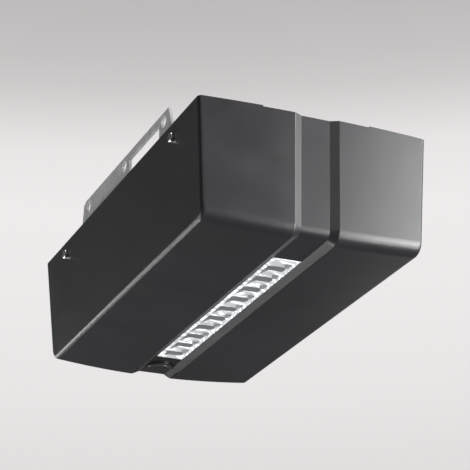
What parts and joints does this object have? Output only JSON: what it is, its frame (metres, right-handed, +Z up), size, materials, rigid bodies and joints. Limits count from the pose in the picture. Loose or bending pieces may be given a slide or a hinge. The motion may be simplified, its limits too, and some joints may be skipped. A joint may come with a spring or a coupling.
{
  "type": "garage door opener",
  "caption": "Ceiling-mounted drive head for a garage door: a drafted hood with a grooved light strip, hinged control flap, worm gear motor and suspension brackets.",
  "frame": {"origin": "output shaft axis in the plane of the chassis top, where the rail sits", "axes": "+Z up towards the ceiling, +Y along the head towards the control flap, +X across"},
  "size_m": [0.2096, 0.3723, 0.1314],
  "materials": {
    "hood_paint": "satin anthracite powder coat over a deep-drawn shell",
    "frosted_lens": "frosted light diffuser",
    "black_glass": "gloss black window",
    "dark_plastic": "fine moulded grain",
    "white_plastic": "moulded, satin",
    "grey_plastic": "moulded, satin",
    "green_board": "solder-masked glass-fibre board",
    "white_board": "white solder-masked board",
    "galvanised": "galvanised sheet",
    "zinc_steel": "bright zinc plate",
    "machined_steel": "ground and oiled",
    "cast_alloy": "as cast, fine shot-blasted",
    "bronze": "sintered bronze, oiled",
    "nylon_gear": "natural acetal",
    "ferrite": "sintered ferrite magnet",
    "copper": "enamelled copper",
    "carbon": "pressed carbon",
    "laminations": "stacked and varnished core plates",
    "amber_tape": "glossy winding tape",
    "can_sleeve": "heat-shrunk sleeve",
    "sink_alloy": "black anodised extrusion",
    "relay_case": "moulded case",
    "wire": "soft cable sheath",
    "tin_pins": "tin-plated contact",
    "led_phosphor": "phosphor-filled package"
  },
  "bodies": {
    "head": {"board_capacitors": "can_sleeve", "board_chips": "dark_plastic", "board_fuse": "tin_pins", "board_posts": "white_plastic", "board_screws": "zinc_steel", "board_sockets": "white_plastic", "bracket_bolts": "zinc_steel", "bracket_left": "galvanised", "bracket_right": "galvanised", "brush_holders": "dark_plastic", "chassis_nuts": "zinc_steel", "chassis_plate": "galvanised", "control_board": "green_board", "control_fascia": "dark_plastic", "display_module": "dark_plastic", "display_window": "black_glass", "encoder_sensor": "dark_plastic", "flap_hinge_pin": "machined_steel", "gear_cover": "cast_alloy", "gear_housing": "cast_alloy", "heat_sink": "sink_alloy", "hood": "hood_paint", "hood_clip_nuts": "zinc_steel", "hood_screws": "zinc_steel", "housing_screws": "zinc_steel", "inlet_pins": "tin_pins", "internal_wires": "wire", "key_board": "green_board", "key_switches": "dark_plastic", "led_board": "white_board", "led_emitters": "led_phosphor", "light_lens": "frosted_lens", "light_reflector": "white_plastic", "motor_brushes": "carbon", "motor_can": "zinc_steel", "motor_front_cap": "cast_alloy", "motor_magnets": "ferrite", "motor_rear_cap": "dark_plastic", "motor_screws": "zinc_steel", "motor_strap": "galvanised", "power_inlet": "dark_plastic", "relays": "relay_case", "shaft_bushes": "bronze", "terminal_block": "grey_plastic", "transformer_core": "laminations", "transformer_frame": "galvanised", "transformer_winding": "amber_tape"},
    "rotor": {"motor_shaft": "machined_steel", "worm": "machined_steel", "armature_core": "laminations", "armature_winding": "copper", "commutator": "copper", "encoder_disc": "dark_plastic"},
    "output": {"worm_wheel": "nylon_gear", "output_shaft": "machined_steel", "shaft_circlip": "machined_steel"},
    "flap": {"control_flap": "hood_paint"},
    "door_button": {"door_button": "grey_plastic"},
    "program_button_left": {"program_button_left": "grey_plastic"},
    "program_button_right": {"program_button_right": "grey_plastic"}
  },
  "joints": [
    {"name": "rotor_spin", "type": "hinge", "parent": "head", "child": "rotor", "pos_m": [0.04, 0, -0.04], "axis": [0, 1, 0], "continuous": true},
    {"name": "output_spin", "type": "hinge", "parent": "head", "child": "output", "pos_m": [0, 0, 0], "axis": [0, 0, 1], "continuous": true},
    {"name": "flap_hinge", "type": "hinge", "parent": "head", "child": "flap", "pos_m": [0, 0.17732, -0.044], "axis": [1, 0, 0], "range_deg": [0, 95]},
    {"name": "door_button_press", "type": "slide", "parent": "head", "child": "door_button", "axis": [0, 0, 1], "range_m": [0, 0.0012], "stiffness_N_per_m": 400},
    {"name": "program_left_press", "type": "slide", "parent": "head", "child": "program_button_left", "axis": [0, 0, 1], "range_m": [0, 0.0012], "stiffness_N_per_m": 400},
    {"name": "program_right_press", "type": "slide", "parent": "head", "child": "program_button_right", "axis": [0, 0, 1], "range_m": [0, 0.0012], "stiffness_N_per_m": 400}
  ],
  "couplings": [
    {"joint": "output_spin", "follows": "rotor_spin", "ratio": -0.033333}
  ]
}
